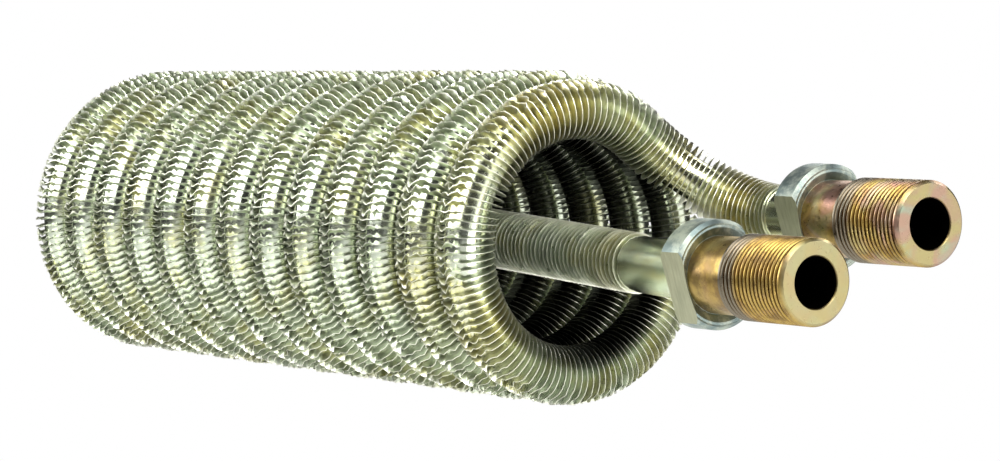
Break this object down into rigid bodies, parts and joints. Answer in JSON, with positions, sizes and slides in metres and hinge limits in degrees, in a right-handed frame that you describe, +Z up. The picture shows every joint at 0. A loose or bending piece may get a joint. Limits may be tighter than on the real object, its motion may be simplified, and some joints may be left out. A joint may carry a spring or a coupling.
{
  "type": "finned tube heat exchanger coil",
  "caption": "Finned copper tube wound into a tight helical coil, its two ends brought out at the front into male threaded connections with brazed collars.",
  "frame": {"origin": "on the inlet connection's axis, where its thread reaches full diameter, 1 mm behind the end face", "axes": "+X points out of both connections and away from the coil's closed end, +Z is up, with the outlet up and to +Y of the inlet"},
  "size_m": [0.4164, 0.1179, 0.1084],
  "materials": {
    "tinned_copper": "bright",
    "yellow_chromate_steel": "satin",
    "zinc_steel": "satin"
  },
  "bodies": {
    "root": {"finned_coil": "tinned_copper", "inlet_nipple": "yellow_chromate_steel", "outlet_nipple": "yellow_chromate_steel", "inlet_collar": "zinc_steel", "outlet_collar": "zinc_steel"}
  },
  "joints": []
}
